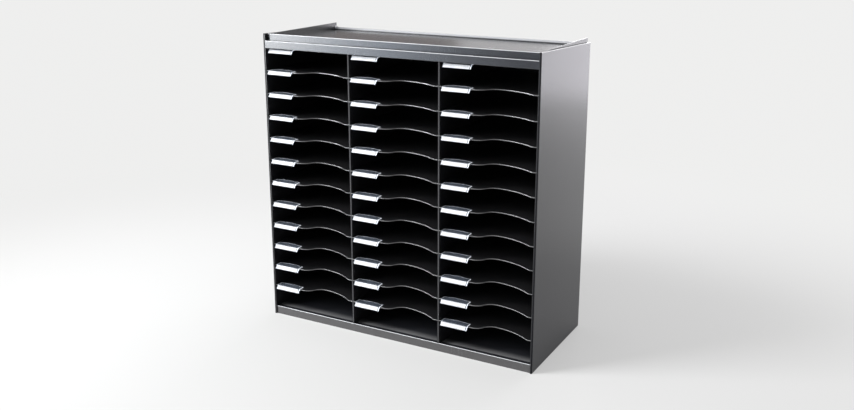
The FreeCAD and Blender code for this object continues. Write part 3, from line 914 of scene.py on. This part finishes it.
def pale_world(pale, fill):
    """A pale background, seen by the camera, in gloss and through clear plastic, and a softer fill
    light."""
    finish = Finish(bpy.data.worlds.new("pale_studio"))
    seen, mirrored, through = (finish.node("ShaderNodeLightPath", output="Is " + ray + " Ray")
                               for ray in ("Camera", "Glossy", "Transmission"))
    light = finish.node("ShaderNodeBackground", None, {"Color": (1, 1, 1, 1), "Strength": fill})
    backdrop = finish.node("ShaderNodeBackground", None, {"Color": tint(pale), "Strength": 1.0})
    shown = seen.combine("MAXIMUM", seen, mirrored + through)
    return finish.finished(finish.mixed(shown, light, backdrop), "ShaderNodeOutputWorld")


def around(azimuth, distance, height):
    """The point at a distance from the cabinet's upright axis. Azimuth is in degrees from the
    front, positive to the right."""
    angle = math.radians(azimuth)
    return distance * math.sin(angle), -distance * math.cos(angle), height


def soft_lamp(name, azimuth, distance, height, width, length, level, colour):
    """A rectangular soft lamp that faces the middle of the cabinet and that the camera doesn't
    see. Level is its brightness."""
    data = bpy.data.lights.new(name, "AREA")
    data.shape = "RECTANGLE"
    data.size, data.size_y = width, length
    data.energy = LAMP_POWER * level * width * length
    data.color = colour
    lamp = bpy.data.objects.new(name, data)
    lamp.location = around(azimuth, distance, height)
    middle = (cad_box[0] + cad_box[1]) / 2
    lamp.rotation_euler = (middle - lamp.location).to_track_quat("-Z", "Y").to_euler()
    lamp.visible_camera = False
    bpy.context.scene.collection.objects.link(lamp)


def stage_sheet(name, middle, across, up, finish):
    """One flat face that belongs to the studio, from its middle and half of each side."""
    mesh = bpy.data.meshes.new(name)
    mesh.from_pydata([middle - across - up, middle + across - up, middle + across + up,
                      middle - across + up], [], [(0, 1, 2, 3)])
    mesh.materials.append(finish)
    sheet = bpy.data.objects.new(name, mesh)
    bpy.context.scene.collection.objects.link(sheet)
    return sheet


def mirror_card(name, azimuth, distance, height, width, length, colour):
    """A plain upright card that faces the cabinet's axis and that only gloss mirrors. It neither
    lights the cabinet nor shows itself."""
    finish = new_finish(name)
    card = stage_sheet(name, np.array(around(azimuth, distance, height)),
                       np.array(around(azimuth + 90, width / 2, 0)), np.array([0, 0, length / 2]),
                       finish.finished(finish.glow((*colour, 1.0))))
    card.visible_camera = False
    card.visible_diffuse = False
    card.visible_transmission = False
    card.visible_shadow = False


class SORTER_OT_stage(bpy.types.Operator):
    """Sets up the pale floor, soft lamps, mirror cards and camera"""
    bl_idname = "sorter.stage"
    bl_label = "Studio"

    def execute(self, context):
        scene = context.scene
        studio = scene.sorter_studio
        stage_sheet("floor", np.zeros(3), np.array([FLOOR_HALF, 0, 0]),
                    np.array([0, FLOOR_HALF, 0]), floor_finish(studio.pale))
        scene.world = pale_world(studio.pale, studio.fill)
        for name, place in LAMPS.items():
            soft_lamp(name, *place)
        for name, place in MIRROR_CARDS.items():
            mirror_card(name, *place)

        camera = bpy.data.cameras.new("camera")
        camera.lens = studio.lens
        camera.sensor_width = SENSOR_WIDTH
        camera.shift_y = studio.camera_shift
        view = bpy.data.objects.new("camera", camera)
        view.location = studio.camera_place
        view.rotation_euler = (studio.camera_tilt, 0, studio.camera_turn)
        scene.collection.objects.link(view)
        scene.camera = view
        scene.view_settings.view_transform = "Standard"
        return {"FINISHED"}


# ---- Panel and registration ----
OPERATORS = (SORTER_OT_steel_panels, SORTER_OT_plastic_walls, SORTER_OT_fasteners,
             SORTER_OT_shelf_plates, SORTER_OT_shelf_labels, SORTER_OT_top_labels, SORTER_OT_stage)
SETTINGS = {"sorter_shelf": ShelfSizes, "sorter_label": LabelSizes,
            "sorter_finish": FinishSettings, "sorter_studio": StudioSettings}


class SORTER_PT_panel(bpy.types.Panel):
    """Sizes, colours and steps of the mail sorter"""
    bl_label = "Mail sorter"
    bl_idname = "SORTER_PT_panel"
    bl_space_type = "VIEW_3D"
    bl_region_type = "UI"
    bl_category = "Mail sorter"

    def draw(self, context):
        for name, group in SETTINGS.items():
            settings = getattr(context.scene, name)
            column = self.layout.column(align=True)
            for key in group.__annotations__:
                column.prop(settings, key)
        for operator in OPERATORS:
            self.layout.operator(operator.bl_idname)


def register():
    for group in (*SETTINGS.values(), *OPERATORS, SORTER_PT_panel):
        bpy.utils.register_class(group)
    for name, group in SETTINGS.items():
        setattr(bpy.types.Scene, name, PointerProperty(type=group))


def unregister():
    for name in SETTINGS:
        delattr(bpy.types.Scene, name)
    for group in (SORTER_PT_panel, *reversed(OPERATORS), *SETTINGS.values()):
        bpy.utils.unregister_class(group)


def main():
    register()
    for operator in OPERATORS:
        family, step = operator.bl_idname.split(".")
        getattr(getattr(bpy.ops, family), step)()


if __name__ == "__main__":
    main()
